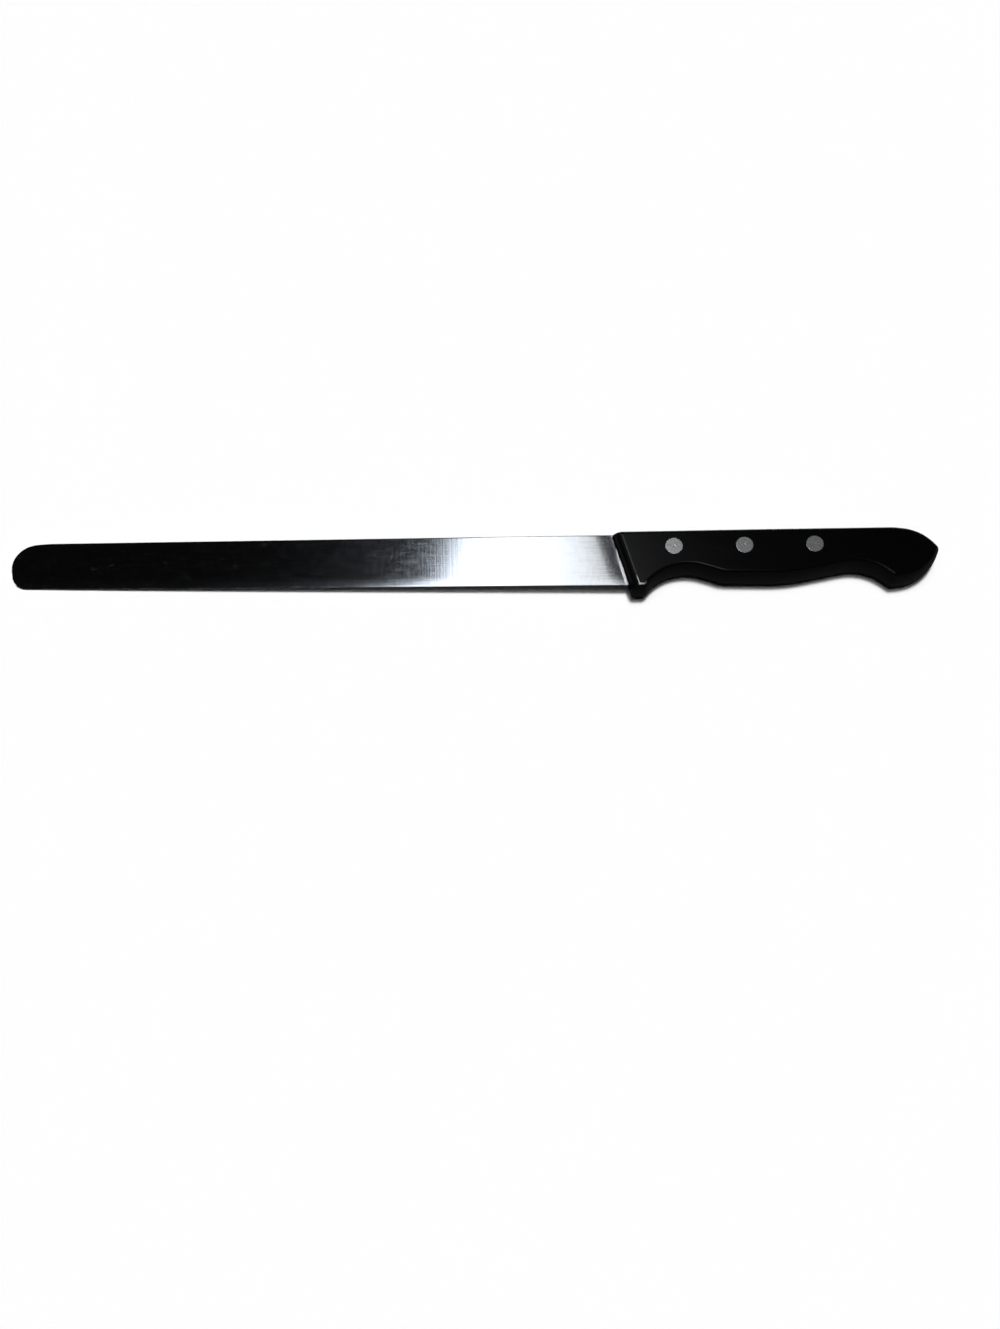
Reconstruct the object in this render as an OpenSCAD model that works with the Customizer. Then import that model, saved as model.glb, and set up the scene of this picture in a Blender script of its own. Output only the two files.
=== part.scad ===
// Slicing and carving knife: one steel blade with a narrow tang, two moulded
// handle scales and three two-part rivets. Millimetres.
//
// The knife lies on its side. +X runs from the nose to the butt, +Y from the
// cutting edge to the spine, and +Z through the thickness of the handle.
// Sizes are measured from the front top corner of the handle: along X from
// there, and downward from the straight line of the spine.

/* [Blade] */
// Length of the blade from the top corner of the handle to the end of the nose
blade_len = 253.6; // [220:0.1:300]
// Height of the blade inside the front of the handle
heel_h = 23.2; // [20:0.1:24]
// Height of the blade at the nose, where the cutting edge begins to curve up
nose_h = 20.2; // [18:0.1:22]
// Thickness of the steel, which is that of the tang
spine_t = 2.2; // [1.6:0.1:3]
// Depth that grinding takes off each side of the spine at the handle
grind_depth = 0.05; // [0.03:0.01:0.2]
// Thickness just above the sharpened bevels
edge_t = 0.5; // [0.3:0.05:0.8]
// Sharpening angle on each side of the edge, in degrees
edge_angle = 17; // [12:1:22]
// Width of the flat that is left along the cutting edge
edge_flat = 0.06; // [0.04:0.01:0.1]
// Width of the strip in front of the handle that is left unground
plunge_gap = 1.4; // [0.5:0.1:3]

/* [Nose] */
// Depth of the foremost corner of the nose below the spine
nose_drop = 8.1; // [8:0.1:10]
// Distance of the spine's corner behind the foremost corner
nose_spine_back = 6.5; // [6.2:0.1:8]
// Distance of the edge's corner behind the foremost corner
nose_edge_back = 1.8; // [1:0.1:2.2]
// Rounding of the nose at the spine
nose_spine_r = 11.4; // [8:0.1:11.8]
// Rounding of the nose at its foremost corner
nose_front_r = 10.5; // [7:0.1:11]
// Rounding of the nose at the cutting edge
nose_edge_r = 5.8; // [3:0.1:7]

/* [Tang] */
// How far the tang runs on behind the last rivet
tang_beyond = 26.2; // [12:0.1:28]
// Height of the tang, which runs along the top of the handle
tang_h = 13.6; // [12.5:0.1:15]
// How far the full height of the blade reaches into the handle
shoulder_depth = 5; // [3:0.1:7]
// Rounding of the shoulder's lower corner
shoulder_r = 1; // [0.5:0.1:2]
// Fillet between the shoulder of the blade and the tang
shoulder_fillet = 3; // [1:0.1:5]
// Rounding of the tang's lower rear corner
tang_low_r = 4; // [1:0.1:6]
// Rounding of the tang's upper rear corner
tang_top_r = 1; // [0.5:0.1:3]

/* [Handle] */
// Length of the handle along its top, up to the rounded point of the butt
handle_len = 139.6; // [136:0.1:160]
// Thickness over both scales
handle_t = 15; // [13:0.1:18]
// Rake of the handle's front, in degrees off square
front_rake = 15; // [8:0.5:16]
// How far the sides of the handle bulge between its two flat faces
side_crown = 1.2; // [0.4:0.1:1.5]
// Rounding between the bulging sides and the flat faces
side_edge_r = 1.5; // [0.5:0.1:1.8]
// How far the rounded front falls back from the middle to the flat faces
front_setback = 3.7; // [1.5:0.1:4.5]
// Rounding of the handle's front top corner
front_top_r = 1; // [0.5:0.1:2]

/* [Finger guard and grip] */
// Drop of the finger guard below the spine
guard_drop = 27.3; // [26.5:0.1:31]
// Width of the guard's foot
guard_w = 6; // [5:0.1:6.5]
// Rounding of the guard's foot in front
guard_front_r = 2; // [1:0.1:3]
// Rounding of the guard's foot behind
guard_back_r = 2.5; // [1:0.1:4]
// Distance of the finger groove's corner behind the handle's front corner
groove_at = 24.1; // [23.5:0.1:28]
// Depth of the finger groove's corner below the spine
groove_drop = 14.2; // [13:0.1:15.5]
// Rounding of the finger groove
groove_r = 21; // [12:0.5:22]
// Distance of the palm swell's front corner behind the handle's front corner
palm_at = 46.4; // [45:0.1:54]
// Depth of the palm swell's front corner below the spine
palm_drop = 21.8; // [20.5:0.1:23.5]
// Rounding of the palm swell in front
palm_front_r = 14; // [6:0.5:30]
// Distance of the palm swell's rear corner in front of the point of the butt
palm_rear = 66; // [60:0.1:72]
// Depth of the palm swell's rear corner below the spine
palm_rear_drop = 22.6; // [21:0.1:25]
// Rounding of the palm swell behind
palm_rear_r = 72; // [40:1:80]

/* [Butt] */
// Distance of the narrow neck's corner in front of the point of the butt
neck_back = 32.1; // [30:0.1:36]
// Depth of the neck's corner below the spine
neck_drop = 16; // [15:0.1:17.5]
// Rounding of the neck
neck_r = 21; // [12:0.5:24]
// Distance of the beak's corner in front of the point of the butt
beak_back = 21.2; // [18:0.1:23]
// Depth of the beak's corner below the spine
beak_drop = 24.7; // [24.2:0.1:27]
// Rounding of the beak
beak_r = 2.5; // [1:0.1:4]
// Distance of the butt's lower corner in front of the point
butt_low_back = 5.7; // [5.3:0.1:7.3]
// Depth of the butt's lower corner below the spine
butt_low_drop = 23.2; // [21:0.1:24]
// Rounding of the butt below the point
butt_low_r = 20; // [8:0.5:20.5]
// Depth of the point of the butt below the spine
point_drop = 10.5; // [8.6:0.1:12]
// Rounding of the point of the butt
point_r = 0.7; // [0.5:0.1:0.9]
// Distance of the butt's upper corner in front of the point
crest_back = 6.3; // [6.3:0.1:8]
// Depth of the butt's upper corner below the spine
crest_drop = 1.5; // [1.3:0.1:3]
// Rounding of the butt above the point
crest_r = 20.7; // [10:0.1:21]
// Distance in front of the point at which the top leaves the straight line
top_back = 19.3; // [17:0.1:20.8]
// Rounding where the top leaves the straight line
top_back_r = 19.3; // [5:0.1:40]

/* [Rivets] */
// Distance of the first rivet behind the handle's front corner
rivet_at = 25.8; // [22:0.1:29]
// Distance from one rivet to the next
rivet_pitch = 30; // [26:0.1:31.5]
// Depth of the rivets below the spine
rivet_drop = 8.4; // [7:0.1:9.5]
// Diameter of the rivet heads
rivet_head_d = 7.3; // [6:0.1:9]
// Thickness of the rivet heads
rivet_head_t = 2.2; // [1.5:0.1:3]
// Outer diameter of the rivet sleeves
sleeve_d = 5; // [4.6:0.1:5.4]
// Diameter of the rivet posts, which are driven into the sleeves
post_d = 3.4; // [2.6:0.1:3.8]
// Solid floor that is left between a sleeve's bore and the face of its head
sleeve_floor = 1.2; // [0.8:0.1:1.5]

/* [Fits] */
// Gap between the tang and the walls of its pocket
tang_gap = 0.1; // [0.05:0.05:0.3]
// Gap round the sleeves in the tang and in the scales, on the radius
sleeve_gap = 0.1; // [0.05:0.05:0.2]
// Gap round the rivet heads in the scales, on the radius
head_gap = 0.05; // [0.02:0.01:0.1]
// Gap round the posts in the sleeves, on the radius
post_gap = 0.02; // [0.01:0.01:0.05]
// Gap at the end of each post and of each sleeve
end_gap = 0.4; // [0.1:0.1:1]

/* [Hidden] */

STEEL = "silver";
BLACK = [0.07, 0.07, 0.075];
ALUMINIUM = [0.68, 0.68, 0.69];

// Largest turn between two points of a rounded corner, in degrees
arc_step = 8;
// Least radius of a corner that has been moved inward
least_r = 0.3;
// Steps in the bulge of the sides and in the rounding at the flat faces
crown_steps = 3;
edge_steps = 3;
// Spacing of the points along the straight top of the handle
top_spacing = 12;
// Overshoot of a cut past the surface that it opens
past = 1;
// Number of rivets, each of which is named in NODES
rivets = 3;
// Facets asked for in round bores and pins
$fn = 48;

half_t = handle_t / 2;
half_steel = spine_t / 2;

// Outlines. A corner is [x, y, radius], and corners run counter-clockwise.

function wrapped(list, k) = list[(k + len(list)) % len(list)];

function spot(corners, k) = let (c = wrapped(corners, k)) [c[0], c[1]];

function left_of(d) = [-d[1], d[0]];

function heading(corners, k) =
    let (d = spot(corners, k + 1) - spot(corners, k)) d / norm(d);

function turn(corners, k) =
    let (a = heading(corners, k - 1), b = heading(corners, k))
    atan2(cross(a, b), a * b);

// Meeting point of the two sides at corner k, after each has moved inward
function moved_corner(corners, insets, k) =
    let (
        a = heading(corners, k - 1),
        b = heading(corners, k),
        p = wrapped(insets, k - 1) * left_of(a),
        q = wrapped(insets, k) * left_of(b)
    )
    spot(corners, k) + p + a * cross(q - p, b) / cross(a, b);

// Radius of corner k after the move: outer corners tighten, hollows open up
function moved_r(corners, insets, k) =
    let (inset = (wrapped(insets, k - 1) + wrapped(insets, k)) / 2)
    max(least_r, wrapped(corners, k)[2] - sign(turn(corners, k)) * inset);

function turned(v, angle) =
    [v[0] * cos(angle) - v[1] * sin(angle), v[0] * sin(angle) + v[1] * cos(angle)];

function corner_arc(corners, insets, k) =
    let (
        bend = turn(corners, k),
        r = moved_r(corners, insets, k),
        a = heading(corners, k - 1),
        start = moved_corner(corners, insets, k) - a * r * tan(abs(bend) / 2),
        centre = start + sign(bend) * r * left_of(a),
        steps = max(2, ceil(abs(bend) / arc_step))
    )
    [for (i = [0:steps]) centre + turned(start - centre, bend * i / steps)];

function same_inset(corners, inset) = [for (c = corners) inset];

function rounded(corners, insets) =
    [for (k = [0:len(corners) - 1]) each corner_arc(corners, insets, k)];

// Blade and tang outline

function nose_corners(x) = [
    [x + nose_spine_back, 0, nose_spine_r],
    [x, -nose_drop, nose_front_r],
    [x + nose_edge_back, -nose_h, nose_edge_r]
];

// How far the rounded nose stays behind its foremost corner
nose_cut = let (
        c = nose_corners(0),
        bend = turn(c, 1),
        a = heading(c, 0),
        start = spot(c, 1) - a * nose_front_r * tan(bend / 2)
    )
    start[0] + nose_front_r * left_of(a)[0] - nose_front_r;

nose_x = -blade_len - nose_cut;
tang_len = rivet_at + (rivets - 1) * rivet_pitch + tang_beyond;
shoulder_x = heel_h * tan(front_rake) + shoulder_depth;

blade_corners = concat(
    [[tang_len, 0, tang_top_r]],
    nose_corners(nose_x),
    [
        [shoulder_x, -heel_h, shoulder_r],
        [shoulder_x, -tang_h, shoulder_fillet],
        [tang_len, -tang_h, tang_low_r]
    ]
);

// The cutting edge as a line: where it starts at the nose, and its slope
edge_start = spot(blade_corners, 3);
edge_end = spot(blade_corners, 4);
edge_slope = atan2(edge_end[1] - edge_start[1], edge_end[0] - edge_start[0]);
// Height of the handle's front top corner above that line
spine_above_edge = cross([cos(edge_slope), sin(edge_slope)], -edge_start);
wedge_angle = atan((half_steel - grind_depth - edge_t / 2) / spine_above_edge);

// Handle outline

guard_x = guard_drop * tan(front_rake);

// The first side, from corner 0 to corner 1, is the raked front
handle_corners = [
    [0, 0, front_top_r],
    [guard_x, -guard_drop, guard_front_r],
    [guard_x + guard_w, -guard_drop, guard_back_r],
    [groove_at, -groove_drop, groove_r],
    [palm_at, -palm_drop, palm_front_r],
    [handle_len - palm_rear, -palm_rear_drop, palm_rear_r],
    [handle_len - neck_back, -neck_drop, neck_r],
    [handle_len - beak_back, -beak_drop, beak_r],
    [handle_len - butt_low_back, -butt_low_drop, butt_low_r],
    [handle_len, -point_drop, point_r],
    [handle_len - crest_back, -crest_drop, crest_r],
    [handle_len - top_back, 0, top_back_r]
];
// The corner at the point of the butt, where the lower side ends
POINT = 9;

// The sides bulge on one arc, which a smaller one joins to the flat face
crown_r = (half_t ^ 2 + side_crown ^ 2) / (2 * side_crown);
edge_centre_inset = crown_r - sqrt((crown_r - side_edge_r) ^ 2 - (half_t - side_edge_r) ^ 2);
crown_end = asin((half_t - side_edge_r) / (crown_r - side_edge_r));
front_r = (half_t ^ 2 + front_setback ^ 2) / (2 * front_setback);

// Levels of the side's profile, each [height, inset]
side_profile = concat(
    [for (i = [0:crown_steps - 1])
        let (a = crown_end * i / crown_steps)
        [crown_r * sin(a), crown_r * (1 - cos(a))]
    ],
    [for (i = [0:edge_steps])
        let (a = crown_end + (90 - crown_end) * i / edge_steps)
        [half_t + side_edge_r * (sin(a) - 1), edge_centre_inset - side_edge_r * cos(a)]
    ]
);

function front_inset(z) = front_r - sqrt(front_r ^ 2 - z ^ 2);

// Points along the straight top, from its rear end toward the front corner
top_steps = ceil((handle_len - top_back) / top_spacing);

function top_line(from, to) = [for (i = [1:top_steps - 1]) from + (to - from) * i / top_steps];

function level_insets(level) =
    [for (k = [0:len(handle_corners) - 1]) k == 0 ? front_inset(level[0]) : level[1]];

function handle_ring(level) =
    let (ring = rounded(handle_corners, level_insets(level)))
    concat(ring, top_line(ring[len(ring) - 1], ring[0]));

scale_rings = [for (level = side_profile) handle_ring(level)];
ring_size = len(scale_rings[0]);
// The ring's points up to the point of the butt make its lower side
lower_size = len([for (k = [0:POINT - 1]) each corner_arc(handle_corners, level_insets([0, 0]), k)]) + 1;

// Triangles that fill a ring between its lower side, from point i on, and its
// upper side, from point j back, always across the shorter diagonal
function fill(ring, i, j, done) =
    i + 1 == j ? done :
    let (
        step_lower = i < lower_size && (j - 1 <= lower_size
            || norm(ring[i + 1] - ring[j]) < norm(ring[j - 1] - ring[i]))
    )
    step_lower
        ? fill(ring, i + 1, j, concat(done, [[i, i + 1, j]]))
        : fill(ring, i, j - 1, concat(done, [[i, j - 1, j]]));

function flipped(triangles) = [for (t = triangles) [t[2], t[1], t[0]]];

function lifted(triangles, by) = [for (t = triangles) [for (p = t) p + by]];

levels = len(scale_rings);

// Seen from outside, faces run clockwise
scale_faces = concat(
    fill(scale_rings[0], 0, ring_size - 1, []),
    lifted(flipped(fill(scale_rings[levels - 1], 0, ring_size - 1, [])), (levels - 1) * ring_size),
    [for (n = [0:levels - 2]) for (i = [0:ring_size - 1])
        let (a = n * ring_size + i, b = n * ring_size + (i + 1) % ring_size)
        each [[a, a + ring_size, b], [b, a + ring_size, b + ring_size]]
    ]
);

scale_points = [for (n = [0:levels - 1]) for (p = scale_rings[n]) [p[0], p[1], side_profile[n][0]]];

// Place of the whole knife: centred in X and Y, lying on Z = 0

blade_outline = rounded(blade_corners, same_inset(blade_corners, 0));
nose_end = min([for (p = blade_outline) p[0]]);
butt_end = max([for (p = scale_rings[0]) p[0]]);
low_end = min([for (p = scale_rings[0]) p[1]]);

module placed() {
    translate([-(nose_end + butt_end) / 2, -low_end / 2, half_t]) children();
}

function rivet_x(n) = rivet_at + n * rivet_pitch;

module at_rivet(n) {
    translate([rivet_x(n), -rivet_drop, 0]) children();
}

// Blade

// Everything in front of the line where the grinding stops
module ground_region() {
    stop = -plunge_gap / cos(front_rake);
    reach = blade_len + heel_h;
    linear_extrude(height = 2 * handle_t, center = true)
        polygon([
            [stop - reach * tan(front_rake), reach],
            [-reach, reach],
            [-reach, -reach],
            [stop + reach * tan(front_rake), -reach]
        ]);
}

// Grinding plane on the upper side: it holds the edge line, lifted by z
module grind(z, angle) {
    reach = 2 * blade_len;
    translate([edge_start[0], edge_start[1], z])
        rotate([0, 0, edge_slope])
            rotate([angle, 0, 0])
                translate([-reach / 2, -reach / 2, 0]) cube([2 * reach, reach, handle_t]);
}

module ground_off() {
    for (cut = [[edge_t, wedge_angle], [edge_flat, edge_angle]])
        intersection() {
            ground_region();
            grind(cut[0] / 2, cut[1]);
        }
}

module sleeve_hole(n) {
    at_rivet(n) cylinder(d = sleeve_d + 2 * sleeve_gap, h = 2 * handle_t, center = true);
}

module blade() {
    color(STEEL) placed() difference() {
        linear_extrude(height = spine_t, center = true) polygon(blade_outline);
        ground_off();
        mirror([0, 0, 1]) ground_off();
        for (n = [0:rivets - 1]) sleeve_hole(n);
    }
}

// Handle scales

module tang_pocket() {
    linear_extrude(height = spine_t, center = true)
        polygon(rounded(blade_corners, same_inset(blade_corners, -tang_gap)));
}

// One scale, from the middle plane up to its flat face
module plain_scale() {
    difference() {
        polyhedron(points = scale_points, faces = scale_faces);
        tang_pocket();
        for (n = [0:rivets - 1]) {
            sleeve_hole(n);
            at_rivet(n) translate([0, 0, half_t - rivet_head_t])
                cylinder(d = rivet_head_d + 2 * head_gap, h = rivet_head_t + past);
        }
    }
}

module left_scale() {
    color(BLACK) placed() plain_scale();
}

module right_scale() {
    color(BLACK) placed() mirror([0, 0, 1]) plain_scale();
}

// Rivets: a post with its head in the left scale, driven into a sleeve
// whose head lies in the right scale

module rivet_head() {
    translate([0, 0, half_t - rivet_head_t]) cylinder(d = rivet_head_d, h = rivet_head_t);
}

sleeve_root = -half_t + rivet_head_t / 2;
sleeve_end = half_t - rivet_head_t - end_gap;
bore_floor = -half_t + sleeve_floor;
post_root = half_t - rivet_head_t / 2;
post_end = bore_floor + end_gap;

module rivet_post(n) {
    color(ALUMINIUM) placed() at_rivet(n) {
        rivet_head();
        translate([0, 0, post_end]) cylinder(d = post_d, h = post_root - post_end);
    }
}

module rivet_sleeve(n) {
    color(ALUMINIUM) placed() at_rivet(n) difference() {
        union() {
            mirror([0, 0, 1]) rivet_head();
            translate([0, 0, sleeve_root]) cylinder(d = sleeve_d, h = sleeve_end - sleeve_root);
        }
        translate([0, 0, bore_floor]) cylinder(d = post_d + 2 * post_gap, h = handle_t);
    }
}

module front_rivet_post() { rivet_post(0); }
module front_rivet_sleeve() { rivet_sleeve(0); }
module middle_rivet_post() { rivet_post(1); }
module middle_rivet_sleeve() { rivet_sleeve(1); }
module rear_rivet_post() { rivet_post(2); }
module rear_rivet_sleeve() { rivet_sleeve(2); }

blade();
left_scale();
right_scale();
front_rivet_post();
front_rivet_sleeve();
middle_rivet_post();
middle_rivet_sleeve();
rear_rivet_post();
rear_rivet_sleeve();
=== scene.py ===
import math

import bmesh
import bpy
import numpy as np
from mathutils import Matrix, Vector


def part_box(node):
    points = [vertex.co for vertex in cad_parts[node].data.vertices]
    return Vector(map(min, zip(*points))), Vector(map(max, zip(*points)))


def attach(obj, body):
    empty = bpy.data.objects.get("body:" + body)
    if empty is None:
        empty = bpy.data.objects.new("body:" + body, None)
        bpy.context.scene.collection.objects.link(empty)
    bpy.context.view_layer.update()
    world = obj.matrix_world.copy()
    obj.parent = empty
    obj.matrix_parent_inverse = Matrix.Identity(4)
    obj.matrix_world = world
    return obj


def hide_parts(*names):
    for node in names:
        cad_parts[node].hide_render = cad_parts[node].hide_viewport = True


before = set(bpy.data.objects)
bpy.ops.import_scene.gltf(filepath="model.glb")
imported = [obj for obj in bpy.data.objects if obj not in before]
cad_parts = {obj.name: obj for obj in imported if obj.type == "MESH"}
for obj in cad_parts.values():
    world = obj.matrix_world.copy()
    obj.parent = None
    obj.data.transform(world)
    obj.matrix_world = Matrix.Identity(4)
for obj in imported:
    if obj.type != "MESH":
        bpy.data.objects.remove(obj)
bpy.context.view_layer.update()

# Blade: one piece of stainless steel, 2.2 mm thick at the spine, ground to a
# wedge on both sides and sharpened along its lower edge. The grinding stops
# just in front of the handle. The tang runs on inside it, along its top.

MM = 0.001
BLADE_LEN = 253.6
HEEL_H = 23.1
NOSE_H = 20.2
HALF_STEEL = 1.1
HALF_AT_EDGE = 0.25
HALF_EDGE = 0.01
EDGE_BOW = 0.31
SPINE_ROUND = 0.15
RAKE = math.radians(15)
TANG_LEN = 112.0
TANG_H = 13.6

# Sizes are in millimetres from the handle's front top corner, at mid-thickness
steel_low, steel_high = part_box("blade")
CORNER = Vector((
    steel_low[0] + BLADE_LEN * MM,
    steel_high[1],
    (steel_low[2] + steel_high[2]) / 2,
))

NOSE_X = -254.15
SHOULDER_X = HEEL_H * math.tan(RAKE) + 5
blade_corners = [
    (TANG_LEN, 0, 1),
    (NOSE_X + 15, 0, 80),
    (NOSE_X + 6.2, -0.9, 11.4),
    (NOSE_X, -8.1, 10.5),
    (NOSE_X + 1.8, -NOSE_H, 5.8),
    (SHOULDER_X, -HEEL_H, 1),
    (SHOULDER_X, -TANG_H, 3),
    (TANG_LEN, -TANG_H, 4),
]


def across(v):
    return np.array([-v[1], v[0]])


def ahead(point):
    """Distance of a point in front of the line of the handle's raked front."""
    return -point[0] * math.cos(RAKE) - point[1] * math.sin(RAKE)


def rounded(corners, insets, stations=None, arc_step=4.0):
    """A rounded outline, run counter-clockwise, each of whose sides has moved
    inward by its own inset. stations[k] lists distances ahead of the handle's
    front at which side k gets a point. Returns points and, for each, the corner
    or side that it is on and how far along the corner's arc it is."""
    spots = [np.array(c[:2], float) for c in corners]
    count = len(spots)
    heads = [spots[(k + 1) % count] - spots[k] for k in range(count)]
    heads = [h / np.linalg.norm(h) for h in heads]
    points, tags = [], []
    for k in range(count):
        a, b = heads[k - 1], heads[k]
        p, q = insets[k - 1] * across(a), insets[k] * across(b)
        turn = math.atan2(a[0] * b[1] - a[1] * b[0], a @ b)
        gap = q - p
        meeting = spots[k] + p + a * (gap[0] * b[1] - gap[1] * b[0]) / math.sin(turn)
        bend = math.copysign(1, turn)
        moved = corners[k][2] - bend * (insets[k - 1] + insets[k]) / 2
        radius = max(min(corners[k][2], 0.9), moved)
        start = meeting - a * radius * math.tan(abs(turn) / 2)
        centre = start + bend * radius * across(a)
        steps = max(3, math.ceil(abs(math.degrees(turn)) / arc_step))
        for i in range(steps + 1):
            t = turn * i / steps
            c, s = math.cos(t), math.sin(t)
            v = start - centre
            points.append(centre + np.array([v[0] * c - v[1] * s, v[0] * s + v[1] * c]))
            tags.append(("arc", k, i / steps))
        for s in (stations or {}).get(k, ()):
            start_s = ahead(meeting)
            along = (s - start_s) / ahead(b)
            points.append(meeting + b * along)
            tags.append(("side", k, s))
    return points, tags


def mesh_object(name, points, faces, sharp=()):
    """A mesh of points in millimetres from CORNER, shaded smooth but for the
    edges listed in sharp."""
    made = bpy.data.meshes.new(name)
    made.from_pydata([CORNER + Vector(p) * MM for p in points], [], faces)
    made.polygons.foreach_set("use_smooth", [True] * len(made.polygons))
    wanted = {tuple(sorted(pair)) for pair in sharp}
    shape = bmesh.new()
    shape.from_mesh(made)
    for edge in shape.edges:
        if tuple(sorted(v.index for v in edge.verts)) in wanted:
            edge.smooth = False
    bmesh.ops.recalc_face_normals(shape, faces=shape.faces)
    shape.to_mesh(made)
    shape.free()
    piece = bpy.data.objects.new(name, made)
    bpy.context.scene.collection.objects.link(piece)
    return piece


def cut_away(piece, cutter):
    """Takes cutter's shape out of piece for good, and deletes the cutter."""
    step = piece.modifiers.new("cut", "BOOLEAN")
    step.operation = "DIFFERENCE"
    step.solver = "EXACT"
    step.object = cutter
    bpy.context.view_layer.update()
    shown = piece.evaluated_get(bpy.context.evaluated_depsgraph_get())
    cut_mesh = bpy.data.meshes.new_from_object(shown)
    piece.modifiers.clear()
    piece.data = cut_mesh
    bpy.data.objects.remove(cutter)


def rod(x, y, z_from, z_to, radius, sides=64):
    """A plain round cutter along Z."""
    ring = [(x + radius * math.cos(2 * math.pi * i / sides),
             y + radius * math.sin(2 * math.pi * i / sides)) for i in range(sides)]
    points = [(*p, z_from) for p in ring] + [(*p, z_to) for p in ring]
    faces = [tuple(range(sides))[::-1], tuple(range(sides, 2 * sides))]
    for i in range(sides):
        j = (i + 1) % sides
        faces.append((i, j, sides + j, sides + i))
    return mesh_object("cutter", points, faces)


# The flanks are ground to a wedge, a little thinner than the steel at the spine,
# and it rounds over toward the edge. The wheel left a faint hollow in front of
# the handle, and beside it a step with the trace of an earlier pass. The step
# widens toward the edge, and near the spine it lies just inside the handle. The
# edge is honed in two bevels.
SPINE_RELIEF = 0.05
EDGE_ZONE, EDGE_SAG = 4.0, 0.13
HOLLOW_ZONE, HOLLOW = 7.4, 0.1
STEP_FROM_SPINE, STEP_AT_SPINE, STEP_AT_EDGE = -0.3, -0.2, 0.85
TRACE_AT, TRACE, TRACE_W = 1.4, 0.003, 0.1
HONED_W, HONED_ANGLE = 0.17, math.radians(25)
BEVEL_W, BEVEL_ANGLE = 0.6, math.radians(14)
edge_start = np.array(blade_corners[4][:2])
edge_end = np.array(blade_corners[5][:2])
edge_len = np.linalg.norm(edge_end - edge_start)
edge_way = (edge_end - edge_start) / edge_len
WEDGE = (HALF_STEEL - SPINE_RELIEF - HALF_AT_EDGE) / (-edge_start @ across(edge_way))


def ease(t):
    """From 0 to 1 as t does, level at both ends."""
    t = min(1.0, max(0.0, t))
    return t * t * (3 - 2 * t)


def half_thickness(point):
    """Half the thickness of the ground blade at a point of its outline's plane."""
    up = max(0.0, (point - edge_start) @ across(edge_way))
    ground = HALF_AT_EDGE + WEDGE * up
    ground -= EDGE_SAG * max(0.0, 1 - up / EDGE_ZONE) ** 2
    out = min(1.0, max(0.0, ahead(point)) / HOLLOW_ZONE)
    ground -= HOLLOW * (1 - 1.5 * out + 0.5 * out ** 3)
    rise = min(1.0, up / HEEL_H)
    raised = ease((rise - 0.2) / 0.6)
    begins = STEP_FROM_SPINE * raised
    wide = STEP_AT_EDGE + (STEP_AT_SPINE - STEP_AT_EDGE) * raised
    trace = TRACE * (1 - 0.75 * ease((rise - 0.4) / 0.3))
    ground += trace * (1 - ease((ahead(point) - TRACE_AT * rise) / TRACE_W))
    step = ease((ahead(point) - begins) / (wide - begins))
    return HALF_STEEL - (HALF_STEEL - min(ground, HALF_STEEL)) * step


# Rings from the outline inward: a rounding at the spine, the bevels at the edge
ring_insets = []
bevel_insets = (0.0, HONED_W / 2, HONED_W, (HONED_W + BEVEL_W) / 2, BEVEL_W)
for step, edge_inset in enumerate(bevel_insets):
    turned = math.pi / 2 * step / 4
    ring_insets.append((
        SPINE_ROUND * (1 - math.cos(turned)),
        SPINE_ROUND * (1 - math.sin(turned)),
        edge_inset,
    ))
ring_insets += [(0.5, 0, 1.1), (0.8, 0, 1.7), (1.2, 0, 2.4), (1.6, 0, 3.2), (2.0, 0, 4.0)]
stations = [0.05 * i for i in range(-7, 36)]
stations += [1.8, 1.9] + [2.0 + 0.5 * i for i in range(18)] + [13.0, 16.0]
stations += [20.0 + 10.0 * i for i in range(21)]

rings = []
for spine_inset, drop, edge_inset in ring_insets:
    insets = [spine_inset] * len(blade_corners)
    insets[4] = edge_inset
    flat, tags = rounded(blade_corners, insets, {0: stations, 4: stations[::-1]})
    ring = []
    for point, (where, k, along) in zip(flat, tags):
        edgeness = 0.0
        if k == 4:
            edgeness = ease(2 * along - 1) if where == "arc" else 1.0
        elif k == 5 and where == "arc":
            edgeness = 1 - along
        flank = half_thickness(point)
        bevel = HALF_EDGE + min(edge_inset, HONED_W) * math.tan(HONED_ANGLE)
        bevel += max(0.0, edge_inset - HONED_W) * math.tan(BEVEL_ANGLE)
        fallen = flank - drop * min(1.0, 0.8 * flank / SPINE_ROUND)
        z = edgeness * min(bevel, flank) + (1 - edgeness) * fallen
        # The bow is fullest a third of the way from the nose to the heel
        run = (point - edge_start) @ edge_way / edge_len
        bow = EDGE_BOW * edgeness * max(0.0, 6.75 * run * (1 - run) ** 2)
        ring.append((point[0], point[1] - bow, z, edgeness))
    rings.append(ring)

size = len(rings[0])
levels = len(rings)
points = [p[:3] for ring in rings for p in ring]
inner = (levels - 1) * size
top_at = {t[2]: i for i, t in enumerate(tags) if t[0] == "side" and t[1] == 0}
low_at = {t[2]: i for i, t in enumerate(tags) if t[0] == "side" and t[1] == 4}
ROWS = 12
columns = {}
for s in stations:
    high, low = (np.array(points[inner + at[s]][:2]) for at in (top_at, low_at))
    between = [high + (low - high) * n / ROWS for n in range(1, ROWS)]
    first = len(points)
    points += [(*p, half_thickness(p)) for p in between]
    columns[s] = [inner + top_at[s], *range(first, len(points)), inner + low_at[s]]
below = len(points)
points += [(x, y, -z) for x, y, z in points]
faces, sharp = [], []
for n in range(levels - 1):
    for i in range(size):
        a, b = n * size + i, n * size + (i + 1) % size
        faces.append((a, b, b + size, a + size))
        faces.append((below + a, below + a + size, below + b + size, below + b))
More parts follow.
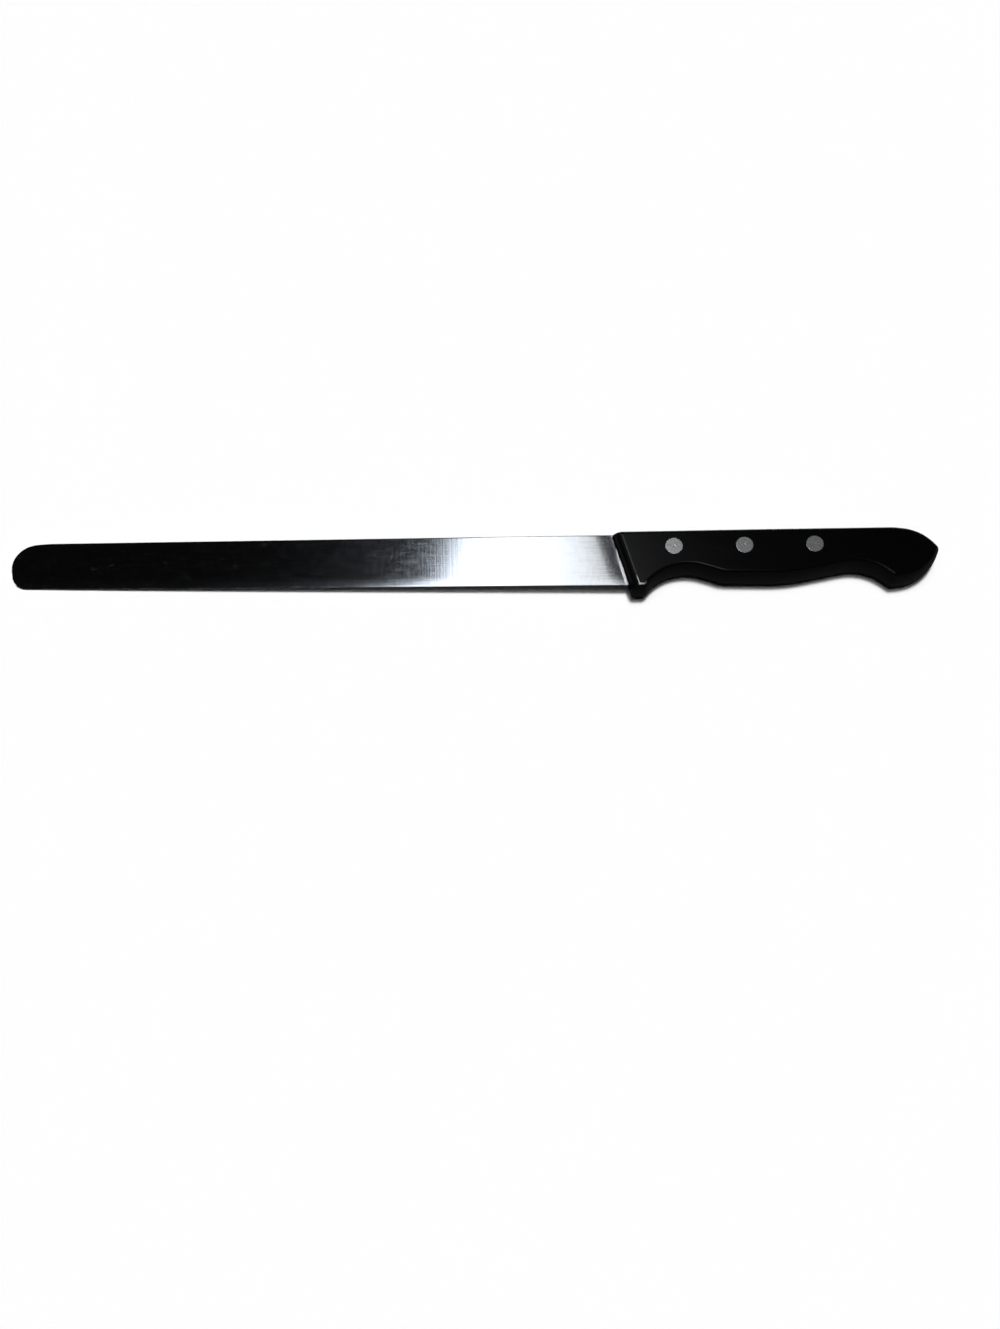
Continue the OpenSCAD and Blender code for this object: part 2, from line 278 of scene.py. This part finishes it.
for i in range(size):
    j = (i + 1) % size
    faces.append((i, below + i, below + j, j))
    if min(rings[0][i][3], rings[0][j][3]) > 0.3:
        for n in (0, 2, 4):
            sharp.append((n * size + i, n * size + j))
            sharp.append((below + n * size + i, below + n * size + j))

# The flat of each flank: a grid between the stations, and one face at each end
patches = []
for near, far in zip(stations, stations[1:]):
    a, b = columns[near], columns[far]
    for n in range(ROWS):
        patches.append((a[n], b[n], b[n + 1], a[n + 1]))
nose_end, heel_end = columns[stations[-1]], columns[stations[0]]
patches.append((*range(nose_end[0], nose_end[-1] + 1), *nose_end[-2:0:-1]))
round_tang = (*range(heel_end[-1], inner + size), *range(inner, heel_end[0] + 1))
patches.append((*round_tang, *heel_end[1:-1]))
for patch in patches:
    faces.append(patch)
    faces.append(tuple(below + i for i in patch[::-1]))

blade = mesh_object("steel_blade", points, faces, sharp)

RIVET_X = [25.8, 55.8, 85.8]
RIVET_Y = -8.4
SLEEVE_R = 2.5
for x in RIVET_X:
    cut_away(blade, rod(x, RIVET_Y, -3, 3, SLEEVE_R + 0.1))


class Wire:
    """One socket of a material's nodes. Arithmetic on it adds Math nodes."""

    def __init__(self, socket):
        self.socket = socket

    def node(self, kind, settings=None, sockets=None, out=0):
        """Adds a node of that kind to the same material and returns its output.
        Its settings are set first, and then its sockets' values or links."""
        made = self.socket.id_data.nodes.new(kind)
        for name, value in (settings or {}).items():
            setattr(made, name, value)
        for name, value in (sockets or {}).items():
            if isinstance(value, Wire):
                self.socket.id_data.links.new(value.socket, made.inputs[name])
            else:
                made.inputs[name].default_value = value
        return Wire(made.outputs[out])

    def maths(self, operation, *terms):
        return self.node("ShaderNodeMath", {"operation": operation}, dict(enumerate(terms)))

    def __add__(self, other):
        return self.maths("ADD", self, other)

    def __mul__(self, other):
        return self.maths("MULTIPLY", self, other)

    def __rsub__(self, other):
        return self.maths("SUBTRACT", other, self)

    __radd__ = __add__
    __rmul__ = __mul__

    def feeds(self, socket):
        self.socket.id_data.links.new(self.socket, socket)

    def noise(self, stretch, detail=2.0, roughness=0.5):
        """Noise from 0 to 1 whose grains per metre along X, Y and Z are stretch."""
        place = self.node("ShaderNodeMapping", None, {"Vector": self, "Scale": stretch})
        return place.node("ShaderNodeTexNoise", None, {
            "Vector": place, "Scale": 1.0, "Detail": detail, "Roughness": roughness,
        })

    def between(self, low, high):
        """0 below low, 1 above high, and smooth between them."""
        return self.node("ShaderNodeMapRange", {"interpolation_type": "SMOOTHSTEP"}, {
            "Value": self, "From Min": low, "From Max": high,
        })

    def blend(self, first, second):
        """The first colour where this is 0, and the second where it is 1."""
        return self.node("ShaderNodeMix", {"data_type": "RGBA"}, {
            0: self, 6: (*first, 1), 7: (*second, 1),
        }, out=2)

    def relief(self):
        """A normal from this height, in metres."""
        return self.node("ShaderNodeBump", None, {"Height": self, "Distance": 1.0})

    def other(self, name):
        """Another output of the node that this one comes from."""
        return Wire(self.socket.node.outputs[name])


def finish_of(name, colour, metallic):
    """A new material, its shader's inputs, and the place in the frame."""
    made = bpy.data.materials.new(name)
    made.use_nodes = True
    tree = made.node_tree
    shader = next(n for n in tree.nodes if n.type == "BSDF_PRINCIPLED")
    shader.inputs["Base Color"].default_value = (*colour, 1)
    shader.inputs["Metallic"].default_value = metallic
    place = Wire(tree.nodes.new("ShaderNodeTexCoord").outputs["Object"])
    return made, shader.inputs, place


def dress(piece, finish, slot, *nodes):
    piece.data.materials.clear()
    piece.data.materials.append(finish)
    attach(piece, "root")
    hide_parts(*nodes)


steel, inputs, place = finish_of("satin ground steel", (0.60, 0.61, 0.63), 1.0)
along = place.node("ShaderNodeSeparateXYZ", None, {"Vector": place})
height = along.other("Y")
edge_y = CORNER.y - HEEL_H * MM
rubbed = 1 - height.between(edge_y, edge_y + 8 * MM)
front = (CORNER.x - along) * math.cos(RAKE) + (CORNER.y - height) * math.sin(RAKE)
stepped = 1 - front.between(0.4 * MM, 1.6 * MM)
# Fine lines of grinding run both ways, and broken ones of use cross over them
lines = place.noise((1100, 12, 12), detail=3, roughness=0.6)
streaks = place.noise((14, 1100, 14), detail=3, roughness=0.6)
cloud = place.noise((60, 110, 60), detail=3)
upright = place.noise((1300, 200, 20), detail=1).between(0.48, 0.65)
level = place.noise((140, 1200, 20), detail=1).between(0.48, 0.65)
high = height.between(edge_y + 9 * MM, edge_y + 16 * MM)
rough = 0.098 + 0.035 * rubbed + 0.02 * streaks * cloud + 0.01 * lines
rough = rough + stepped * (0.16 - 0.11 * high)
(rough + 0.02 * upright + 0.022 * level).feeds(inputs["Roughness"])
near = 1 - front.between(5 * MM, 40 * MM)
fine = lines * (1 - 0.75 * near) * 7e-6
(fine + streaks * (1 + near) * 8e-6).relief().feeds(inputs["Normal"])
spots = place.noise((140, 220, 140), detail=3).between(0.66, 0.76)
(1 - 0.015 * spots).feeds(inputs["Metallic"])
dress(blade, steel, "blade_steel", "blade")


# Handle scales: two moulded halves of black plastic, alike and mirrored. Their
# sides bulge and are rounded into flat faces, and they are riveted through the
# tang, which shows as a line of steel along the top.

HALF_T = 7.5
HANDLE_LEN = 139.59
handle_corners = [
    (0, -0.2, 1),
    (27.3 * math.tan(RAKE), -27.3, 2),
    (27.3 * math.tan(RAKE) + 6, -27.3, 2.5),
    (24.1, -14.2, 21),
    (46.4, -21.8, 14),
    (HANDLE_LEN - 66, -22.6, 72),
    (HANDLE_LEN - 32.1, -16, 21),
    (HANDLE_LEN - 21.2, -24.7, 2.5),
    (HANDLE_LEN - 5.7, -23.2, 20),
    (HANDLE_LEN, -10.5, 0.7),
    (HANDLE_LEN - 6.8, -1.65, 20.7),
    (HANDLE_LEN - 19.3, 0, 19.3),
    (60, 0, 200),
]


def crowned(bulge, rounding):
    """The inset, at height z, of a side that bulges on one arc and is rounded
    into the flat face by a smaller one."""
    big = (HALF_T ** 2 + bulge ** 2) / (2 * bulge)
    centre = big - math.sqrt((big - rounding) ** 2 - (HALF_T - rounding) ** 2)
    tangent = big * (HALF_T - rounding) / (big - rounding)

    def inset(z):
        if z <= tangent:
            return big - math.sqrt(big ** 2 - z ** 2)
        up = min(rounding, z - HALF_T + rounding)
        return centre - math.sqrt(rounding ** 2 - up ** 2)

    return inset


side_inset = crowned(1.2, 1.5)
front_inset = crowned(3.3, 0.6)
SEAM = 0.08
FACE_RIM = 0.06
heights = [0.0, 0.1] + [0.7 * i for i in range(1, 9)]
heights += [HALF_T - 1.5 * (1 - math.sin(math.pi / 2 * i / 10)) for i in range(1, 11)]
heights = sorted(heights + [7.2, 7.33, 7.42])

BLACK = (0.001, 0.001, 0.0011)
# Grey of a highlight painted onto the rim of the handle's face
GLINT_PAINT_GREY = (0.5, 0.5, 0.5)

for side, name, node in (
    (1, "left_handle_scale", "left_scale"),
    (-1, "right_handle_scale", "right_scale"),
):
    rings = []
    levels = [(0.0, SEAM)] + [(z, 0.0) for z in heights[1:]] + [(HALF_T, FACE_RIM)]
    for z, more in levels:
        insets = [front_inset(z) + more] + [side_inset(z) + more] * 12
        # Points along the straight top, so that its faces stay short
        flat, tags = rounded(handle_corners, insets, {
            11: [-110.0, -100.0, -90.0, -80.0, -70.0],
            12: [-50.0, -40.0, -30.0, -20.0, -10.0],
        })
        rings.append([(p[0], p[1], side * z) for p in flat])
    size = len(rings[0])
    points = [p for ring in rings for p in ring]
    last = (len(rings) - 1) * size
    faces = [tuple(range(size))[::-1], tuple(range(last, last + size))]
    for n in range(len(rings) - 1):
        for i in range(size):
            a, b = n * size + i, n * size + (i + 1) % size
            faces.append((a, b, b + size, a + size))
    scale = mesh_object(name, points, faces)

    pocket, tags = rounded(blade_corners, [-0.1] * len(blade_corners))
    size = len(pocket)
    points = [(p[0], p[1], z) for z in (-1.1, 1.1) for p in pocket]
    faces = [tuple(range(size))[::-1], tuple(range(size, 2 * size))]
    for i in range(size):
        j = (i + 1) % size
        faces.append((i, j, size + j, size + i))
    cut_away(scale, mesh_object("pocket", points, faces))
    for x in RIVET_X:
        cut_away(scale, rod(x, RIVET_Y, -8, 8, SLEEVE_R + 0.1))
        cut_away(scale, rod(x, RIVET_Y, side * 5.3, side * 9, 3.7))
    scale.data.set_sharp_from_angle(angle=math.radians(32))

    # Rubbed to a satin on its flat face, and as dull as it came from the mould
    # on its sides
    black, inputs, place = finish_of(name.replace("_", " "), BLACK, 0.0)
    inputs["Specular IOR Level"].default_value = 0.4
    grain = place.noise((3200, 3200, 3200), detail=2)
    wear = place.noise((45, 160, 160), detail=3)
    (0.2 + 0.04 * wear + 0.02 * grain).feeds(inputs["Roughness"])
    skin = (grain * 1.5e-6 + wear * 3e-6).relief()
    skin.feeds(inputs["Normal"])
    facing = place.other("Normal")
    facing = facing.node("ShaderNodeSeparateXYZ", None, {"Vector": facing}, out=2)
    facing = facing.maths("ABSOLUTE", facing)
    satin_share = 0.04 + 0.96 * facing.between(0.6, 0.9)
    # A highlight is painted on: the rounded rim of the face is coloured pale grey at its
    # lower front corner, in place of a glint of light
    corner = CORNER + Vector((10.2, -24.3, side * HALF_T)) * MM
    off = place.node("ShaderNodeVectorMath", {"operation": "DISTANCE"}, {
        0: place, 1: corner,
    }, out="Value")
    rim = facing.between(0.7, 0.85) * (1 - facing.between(0.97, 0.995))
    painted_glint = rim * (1 - off.between(0.8 * MM, 3.4 * MM))
    painted_glint.blend(BLACK, GLINT_PAINT_GREY).feeds(inputs["Base Color"])
    satin = next(n for n in black.node_tree.nodes if n.type == "BSDF_PRINCIPLED")
    dull = skin.node("ShaderNodeBsdfPrincipled", None, {
        "Base Color": (0.0015, 0.0015, 0.0015, 1), "Roughness": 0.6,
        "Specular IOR Level": 0.0, "Normal": skin,
    })
    mixed = satin_share.node("ShaderNodeMixShader", None, {0: satin_share, 1: dull})
    black.node_tree.links.new(satin.outputs[0], mixed.socket.node.inputs[2])
    surface = next(n for n in black.node_tree.nodes if n.type == "OUTPUT_MATERIAL")
    mixed.feeds(surface.inputs["Surface"])
    dress(scale, black, "handle_black", node)


# Rivets: three, each an aluminium post driven into a hollow aluminium sleeve.
# Their round heads are ground flush with the two faces of the handle.

HEAD_R = 3.65
HEAD_T = 2.2
HEAD_EDGE = 0.08


def turned_piece(name, x, profile, sides=72):
    """A piece turned about a rivet's axis, from its profile of [radius, z]."""
    points, faces = [], []
    for r, z in profile:
        for i in range(sides):
            a = 2 * math.pi * i / sides
            points.append((x + r * math.cos(a), RIVET_Y + r * math.sin(a), z))
    for n in range(len(profile) - 1):
        for i in range(sides):
            a, b = n * sides + i, n * sides + (i + 1) % sides
            faces.append((a, b, b + sides, a + sides))
    faces.append(tuple(range(sides))[::-1])
    faces.append(tuple((len(profile) - 1) * sides + i for i in range(sides)))
    piece = mesh_object(name, points, faces)
    piece.data.set_sharp_from_angle(angle=math.radians(40))
    return piece


for place_name, x in zip(("front", "middle", "rear"), RIVET_X):
    # A flat head with its edge broken, and a small dimple at its centre
    head = [
        (HEAD_R, HALF_T - HEAD_T),
        (HEAD_R, HALF_T - HEAD_EDGE),
        (HEAD_R - 0.3 * HEAD_EDGE, HALF_T - 0.3 * HEAD_EDGE),
        (HEAD_R - HEAD_EDGE, HALF_T),
        (HEAD_R - HEAD_EDGE - 0.02, HALF_T),
        (0.53, HALF_T),
        (0.5, HALF_T),
        (0.3, HALF_T - 0.04),
        (0.1, HALF_T - 0.05),
    ]
    post = turned_piece(f"{place_name}_rivet_post_half", x, [
        (1.5, -5.9), (1.7, -5.7), (1.7, HALF_T - HEAD_T), *head,
    ])
    sleeve = turned_piece(f"{place_name}_rivet_sleeve_half", x, [
        (1.72, -6.3), (1.72, 4.9), (SLEEVE_R, 4.9), (SLEEVE_R, HEAD_T - HALF_T),
        *[(r, -z) for r, z in head],
    ])
    for half, piece in (("post", post), ("sleeve", sleeve)):
        called = f"{place_name} rivet {half} aluminium"
        metal, inputs, place = finish_of(called, (0.6, 0.6, 0.59), 0.92)
        speckle = place.noise((1500, 1500, 1500), detail=4, roughness=0.7)
        dull = speckle.between(0.35, 0.75)
        dull.blend((0.93, 0.93, 0.93), (0.72, 0.72, 0.72)).feeds(inputs["Base Color"])
        (0.25 + 0.08 * dull).feeds(inputs["Roughness"])
        (speckle * 4e-6).relief().feeds(inputs["Normal"])
        dress(piece, metal, "rivet_aluminium", f"{place_name}_rivet_{half}")


# Floor: plain white paper. The handle lies flat on it. From there the paper
# rises by a degree and a half toward the nose of the blade, which touches it.

REST_FRONT = (4.0, -HALF_T)
REST_NOSE = (-245.0, -0.95)
slope = (REST_NOSE[1] - REST_FRONT[1]) / (REST_NOSE[0] - REST_FRONT[0])
FLOOR_REACH = 3000
paper_points = []
for along in (-FLOOR_REACH, REST_FRONT[0], FLOOR_REACH):
    height = REST_FRONT[1] + slope * min(0.0, along - REST_FRONT[0])
    paper_points += [(along, -FLOOR_REACH, height), (along, FLOOR_REACH, height)]
floor = mesh_object("floor", paper_points, [(0, 2, 3, 1), (2, 4, 5, 3)])
WHITE = (0.97, 0.97, 0.97)
GREY = (0.25, 0.25, 0.25)
paper, inputs, place = finish_of("white paper", WHITE, 0.0)
inputs["Roughness"].default_value = 1.0
inputs["Specular IOR Level"].default_value = 0.0
# It is white to the eye and in one reflection, and grey to any light that
# comes back to it, which keeps the shadows under the knife deep
bounces = place.node("ShaderNodeLightPath").other("Ray Depth")
bounces.between(1.4, 1.6).blend(WHITE, GREY).feeds(inputs["Base Color"])
floor.data.materials.append(paper)


# Light: a lamp high overhead and a broad soft one round it, in a room with white
# walls and a dark ceiling. The blade mirrors a strip of window, set above it.

for name, energy, spread, toward in (
    ("overhead lamp", 2.25, 9, (0.05, 0.085, 1.0)),
    ("soft overhead light", 0.97, 32, (0.02, 0.02, 1.0)),
):
    lamp = bpy.data.lights.new(name, "SUN")
    lamp.energy = energy
    lamp.angle = math.radians(spread)
    shown = bpy.data.objects.new(name, lamp)
    shown.rotation_euler = Vector(toward).to_track_quat("Z", "Y").to_euler()
    shown.visible_glossy = False
    bpy.context.scene.collection.objects.link(shown)


def card(name, corners, near, far, x_near, x_far):
    """A glowing card that only shows in reflections. Its colour goes from near
    to far between those two places along X."""
    made = bpy.data.meshes.new(name)
    made.from_pydata(corners, [], [tuple(range(len(corners)))])
    shown = bpy.data.objects.new(name, made)
    bpy.context.scene.collection.objects.link(shown)
    for ray in ("camera", "diffuse", "transmission", "volume_scatter", "shadow"):
        setattr(shown, f"visible_{ray}", False)
    glow, inputs, place = finish_of(name, (0, 0, 0), 0.0)
    apart = place.node("ShaderNodeSeparateXYZ", None, {"Vector": place})
    apart.between(x_near, x_far).blend(near, far).feeds(inputs["Emission Color"])
    inputs["Emission Strength"].default_value = 1.0
    made.materials.append(glow)


STRIP_AT = Vector((0.03978, 0.13879, 0.38296))
STRIP_X = Vector((0.99875, -0.01728, -0.04690))
STRIP_Y = Vector((0.0, 0.93836, -0.34566))
card("window strip", [
    STRIP_AT + STRIP_X * x * MM + STRIP_Y * y * MM
    for x, y in ((-78, -260), (95, -260), (79, -90), (29, 60), (-24, 60), (-80, -90))
], (2.35, 2.55, 2.8), (1.41, 1.44, 1.45), STRIP_AT.x - 0.03, STRIP_AT.x + 0.05)
card("left card", [
    (-1.15, -0.4, 0.52), (-1.15, 0.65, 0.52), (-1.0, 0.6, 0.85), (-1.0, -0.35, 0.85),
], (5.5, 5.5, 5.5), (5.5, 5.5, 5.5), 0, 1)

world = bpy.data.worlds.new("room")
bpy.context.scene.world = world
world.use_nodes = True
toward = Wire(world.node_tree.nodes.new("ShaderNodeTexCoord").outputs["Generated"])
up = toward.node("ShaderNodeSeparateXYZ", None, {"Vector": toward}, out=2)
seen = toward.node("ShaderNodeLightPath").other("Is Camera Ray")
mirrored = seen.other("Is Glossy Ray") + seen.other("Is Transmission Ray")
white = seen + (1 - up.between(0.05, 0.2)) * mirrored
background = world.node_tree.nodes["Background"]
white.blend((0.002, 0.002, 0.002), (1, 1, 1)).feeds(background.inputs["Color"])


# Camera: above the knife and a little in front of it, as in the photograph.

lens = bpy.data.cameras.new("camera")
lens.sensor_fit = "VERTICAL"
lens.sensor_height = 36
lens.lens = 59.70
camera = bpy.data.objects.new("camera", lens)
camera.location = (-0.02766, -0.38235, 0.86060)
camera.rotation_euler = (0.377924, -0.0293623, -0.0307156)
bpy.context.scene.collection.objects.link(camera)
bpy.context.scene.camera = camera
bpy.context.scene.view_settings.view_transform = "Standard"
